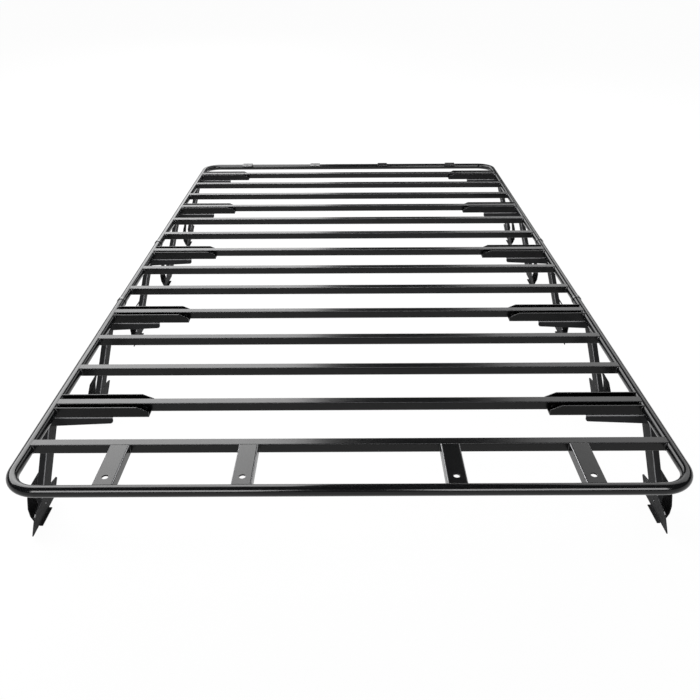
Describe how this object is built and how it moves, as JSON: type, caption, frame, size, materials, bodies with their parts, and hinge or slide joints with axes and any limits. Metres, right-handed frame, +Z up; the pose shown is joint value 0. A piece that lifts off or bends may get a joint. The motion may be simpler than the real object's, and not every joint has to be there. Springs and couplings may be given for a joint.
{
  "type": "flat platform roof rack",
  "caption": "Flat platform roof rack: a round-tube rim in three sections, square cross slats, drilled front plates, and leaning sheet legs with hooked gutter clamps.",
  "frame": {"origin": "on the floor under the middle of the platform, at the level of the clamp lips' undersides", "axes": "+Z up, +Y along the rack towards its rear, +X across it to the right seen from the front; the drilled front plates are at -Y"},
  "size_m": [1.4332, 2.2, 0.317],
  "materials": {
    "rail_tube": "gloss black powder coat",
    "joint_collar": "gloss black powder coat",
    "slat_tube": "satin black powder coat",
    "drilled_plate": "satin black powder coat",
    "bracket_sheet": "satin black powder coat",
    "leg_sheet": "satin black powder coat",
    "clamp_sheet": "satin black powder coat"
  },
  "bodies": {
    "root": {"front_hoop": "rail_tube", "rear_hoop": "rail_tube", "middle_rail_left": "rail_tube", "middle_rail_right": "rail_tube", "front_joint_collars": "joint_collar", "rear_joint_collars": "joint_collar", "slat_01": "slat_tube", "slat_02": "slat_tube", "slat_03": "slat_tube", "slat_04": "slat_tube", "slat_05": "slat_tube", "slat_06": "slat_tube", "slat_07": "slat_tube", "slat_08": "slat_tube", "slat_09": "slat_tube", "slat_10": "slat_tube", "slat_11": "slat_tube", "slat_12": "slat_tube", "slat_13": "slat_tube", "slat_14": "slat_tube", "outer_front_plates": "drilled_plate", "inner_front_plates": "drilled_plate", "rear_tabs": "drilled_plate", "bracket_pair_1": "bracket_sheet", "bracket_pair_2": "bracket_sheet", "bracket_pair_3": "bracket_sheet", "bracket_pair_4": "bracket_sheet", "bracket_pair_5": "bracket_sheet", "leg_pair_1": "leg_sheet", "leg_pair_2": "leg_sheet", "leg_pair_3": "leg_sheet", "leg_pair_4": "leg_sheet", "leg_pair_5": "leg_sheet", "clamp_pair_1": "clamp_sheet", "clamp_pair_2": "clamp_sheet", "clamp_pair_3": "clamp_sheet", "clamp_pair_4": "clamp_sheet", "clamp_pair_5": "clamp_sheet"}
  },
  "joints": []
}
